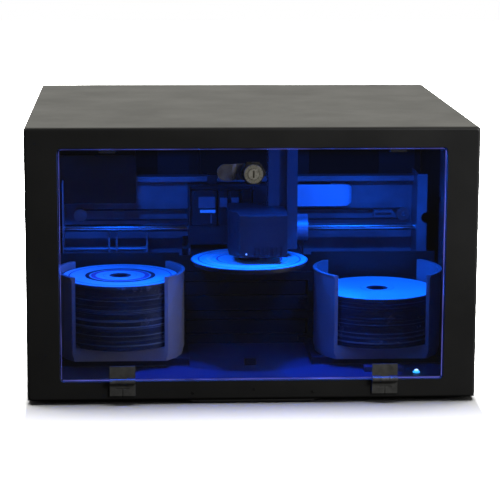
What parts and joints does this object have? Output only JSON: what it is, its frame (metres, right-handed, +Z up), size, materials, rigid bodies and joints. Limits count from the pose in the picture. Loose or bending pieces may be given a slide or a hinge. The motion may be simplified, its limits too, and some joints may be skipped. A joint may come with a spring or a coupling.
{
  "type": "disc publisher",
  "caption": "Desktop disc publisher: steel case with a clear drop-down door, disc bins, stacked disc recorders, an inkjet disc printer with a sliding tray and a travelling disc picker.",
  "frame": {"origin": "under the middle of the whole object, on the plane the feet stand on", "axes": "+X to the right seen from the front, +Y from the front to the back, +Z up"},
  "size_m": [0.4444, 0.4102, 0.2749],
  "materials": {
    "case_steel": "black satin powder coat",
    "bare_steel": "satin",
    "zinc": "zinc plated sheet",
    "chrome": "polished",
    "rubber": "matte",
    "acrylic": "clear polished sheet",
    "dark_plastic": "fine texture",
    "deck_plastic": "satin",
    "bin_plastic": "satin",
    "disc_top": "printable white",
    "disc_edge": "clear edges",
    "picker_paint": "satin",
    "mast_paint": "satin",
    "board": "solder mask",
    "ribbon": "satin",
    "ink": "satin",
    "light": "diffusing"
  },
  "bodies": {
    "case": {"base_pan": "case_steel", "top_cover": "case_steel", "front_bezel": "case_steel", "rear_panel": "case_steel", "pull_lip": "case_steel", "bulkhead": "case_steel", "hinge_left_frame_leaf": "case_steel", "hinge_right_frame_leaf": "case_steel", "foot_front_left": "rubber", "foot_front_right": "rubber", "foot_rear_left": "rubber", "foot_rear_right": "rubber", "carriage_belt": "rubber", "deck": "deck_plastic", "recorder_upper": "zinc", "recorder_lower": "zinc", "inner_frame": "zinc", "tray_motor": "zinc", "printer_chassis": "zinc", "carriage_motor": "zinc", "traverse_motor": "zinc", "power_supply": "zinc", "printer_end_cover": "dark_plastic", "fan_housing": "dark_plastic", "guide_shaft": "chrome", "picker_rail": "bare_steel", "ribbon_cable": "ribbon", "controller_board": "board", "led_strip": "light", "status_lamp": "light"},
    "door": {"door_pane": "acrylic", "hinge_left_door_leaf": "case_steel", "hinge_right_door_leaf": "case_steel", "lock_body": "chrome"},
    "lock": {"lock_plug": "chrome", "lock_cam": "bare_steel"},
    "trolley": {"picker_trolley": "dark_plastic", "picker_column": "mast_paint"},
    "head": {"picker_head": "picker_paint"},
    "plunger": {"gripper_plunger": "bare_steel"},
    "lift_gear": {"lift_pinion": "bare_steel"},
    "screw": {"traverse_screw": "bare_steel"},
    "carriage": {"print_carriage": "dark_plastic", "ink_cartridge_black": "ink", "ink_cartridge_colour": "ink"},
    "drive_pulley": {"carriage_drive_pulley": "bare_steel"},
    "idler_pulley": {"carriage_idler_pulley": "bare_steel"},
    "tray": {"print_tray": "dark_plastic", "printed_disc": "disc_top"},
    "tray_gear": {"tray_pinion": "bin_plastic"},
    "upper_tray": {"recorder_tray_upper": "dark_plastic"},
    "lower_tray": {"recorder_tray_lower": "dark_plastic"},
    "upper_button": {"eject_button_upper": "dark_plastic"},
    "lower_button": {"eject_button_lower": "dark_plastic"},
    "switch": {"rocker_switch": "dark_plastic"},
    "fan": {"fan_impeller": "dark_plastic"},
    "bin_left": {"left_bin": "bin_plastic", "left_disc_stack": "disc_edge"},
    "bin_right": {"right_bin": "bin_plastic", "right_disc_stack": "disc_top"}
  },
  "joints": [
    {"name": "door_hinge", "type": "hinge", "parent": "case", "child": "door", "pos_m": [0.0015, -0.20215, 0.0238], "axis": [1, 0, 0], "range_deg": [0, 95]},
    {"name": "lock_turn", "type": "hinge", "parent": "door", "child": "lock", "pos_m": [0, -0.19385, 0.2297], "axis": [0, 1, 0], "range_deg": [0, 90]},
    {"name": "picker_traverse", "type": "slide", "parent": "case", "child": "trolley", "axis": [1, 0, 0], "range_m": [-0.1323, 0.1323]},
    {"name": "picker_lift", "type": "slide", "parent": "trolley", "child": "head", "axis": [0, 0, 1], "range_m": [-0.0045, 0.06]},
    {"name": "gripper_plunge", "type": "slide", "parent": "head", "child": "plunger", "axis": [0, 0, 1], "range_m": [0, 0.002], "stiffness_N_per_m": 150},
    {"name": "lift_pinion_spin", "type": "hinge", "parent": "head", "child": "lift_gear", "pos_m": [0.0145, -0.08985, 0.158], "axis": [0, 1, 0], "range_deg": [-45, 600]},
    {"name": "traverse_screw_spin", "type": "hinge", "parent": "case", "child": "screw", "pos_m": [0, -0.05085, 0.255], "axis": [1, 0, 0], "range_deg": [-2400, 2400]},
    {"name": "print_carriage_slide", "type": "slide", "parent": "case", "child": "carriage", "axis": [1, 0, 0], "range_m": [-0.04, 0.112], "deforming": ["ribbon_cable"]},
    {"name": "carriage_drive_pulley_spin", "type": "hinge", "parent": "case", "child": "drive_pulley", "pos_m": [-0.174, 0.00615, 0.1556], "axis": [0, 1, 0], "range_deg": [-1300, 480]},
    {"name": "carriage_idler_pulley_spin", "type": "hinge", "parent": "case", "child": "idler_pulley", "pos_m": [0.174, 0.00615, 0.1556], "axis": [0, 1, 0], "range_deg": [-1300, 480]},
    {"name": "print_tray_slide", "type": "slide", "parent": "case", "child": "tray", "axis": [0, 1, 0], "range_m": [0, 0.14]},
    {"name": "tray_pinion_spin", "type": "hinge", "parent": "case", "child": "tray_gear", "pos_m": [-0.051, 0.02715, 0.116], "axis": [1, 0, 0], "range_deg": [-1350, 0]},
    {"name": "recorder_tray_upper_slide", "type": "slide", "parent": "case", "child": "upper_tray", "axis": [0, -1, 0], "range_m": [0, 0.138]},
    {"name": "recorder_tray_lower_slide", "type": "slide", "parent": "case", "child": "lower_tray", "axis": [0, -1, 0], "range_m": [0, 0.138]},
    {"name": "eject_upper_press", "type": "slide", "parent": "case", "child": "upper_button", "axis": [0, 1, 0], "range_m": [0, 0.0012], "stiffness_N_per_m": 400},
    {"name": "eject_lower_press", "type": "slide", "parent": "case", "child": "lower_button", "axis": [0, 1, 0], "range_m": [0, 0.0012], "stiffness_N_per_m": 400},
    {"name": "left_bin_lift", "type": "slide", "parent": "case", "child": "bin_left", "axis": [0, 0, 1], "range_m": [0, 0.015]},
    {"name": "right_bin_lift", "type": "slide", "parent": "case", "child": "bin_right", "axis": [0, 0, 1], "range_m": [0, 0.015]},
    {"name": "power_rocker", "type": "hinge", "parent": "case", "child": "switch", "pos_m": [0.154, 0.19795, 0.039], "axis": [1, 0, 0], "range_deg": [-14, 0]},
    {"name": "fan_spin", "type": "hinge", "parent": "case", "child": "fan", "pos_m": [0, 0.18915, 0.19], "axis": [0, 1, 0], "continuous": true}
  ],
  "couplings": [
    {"joint": "lift_pinion_spin", "follows": "picker_lift", "rad_per_m": 166.67},
    {"joint": "traverse_screw_spin", "follows": "picker_traverse", "rad_per_m": 314.16},
    {"joint": "carriage_drive_pulley_spin", "follows": "print_carriage_slide", "rad_per_m": -200},
    {"joint": "carriage_idler_pulley_spin", "follows": "print_carriage_slide", "rad_per_m": -200},
    {"joint": "tray_pinion_spin", "follows": "print_tray_slide", "rad_per_m": -166.67}
  ]
}
